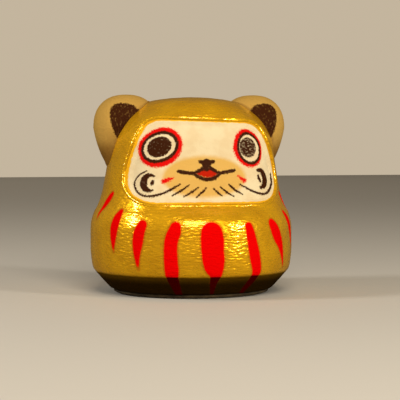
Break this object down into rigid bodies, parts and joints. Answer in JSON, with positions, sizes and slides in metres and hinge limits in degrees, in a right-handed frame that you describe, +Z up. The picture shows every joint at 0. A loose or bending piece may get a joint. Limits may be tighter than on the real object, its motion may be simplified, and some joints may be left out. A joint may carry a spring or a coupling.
{
  "type": "daruma doll",
  "caption": "Papier-mache daruma doll with an animal's face and ears, gold body with red brush strokes, and a weighted clay foot that keeps it upright.",
  "frame": {"origin": "on the floor, under the middle of the body", "axes": "+Z up through the crown, -Y towards the side the face looks to, +X towards the doll's own left ear"},
  "size_m": [0.1496, 0.1496, 0.1463],
  "materials": {
    "gold_lacquer": "gold lacquer with a fine crosswise ripple over papier-mache, satin to glossy",
    "face_white": "matte cream-white chalk ground with brush-painted eyes, nose, mouth and whiskers",
    "ear_beige": "matte sprayed beige over papier-mache, with a dark brush-painted patch inside",
    "washi_paper": "raw hand-made paper, matte and fibrous",
    "base_clay": "unfired clay under a thin coat of olive-brown paint, matte"
  },
  "bodies": {
    "root": {"front_shell": "gold_lacquer", "back_shell": "gold_lacquer", "face_mask": "face_white", "hood_cord": "gold_lacquer", "right_ear": "ear_beige", "left_ear": "ear_beige", "seam_strip_right": "washi_paper", "seam_strip_top": "washi_paper", "seam_strip_left": "washi_paper", "base_weight": "base_clay", "base_paper": "washi_paper"}
  },
  "joints": []
}
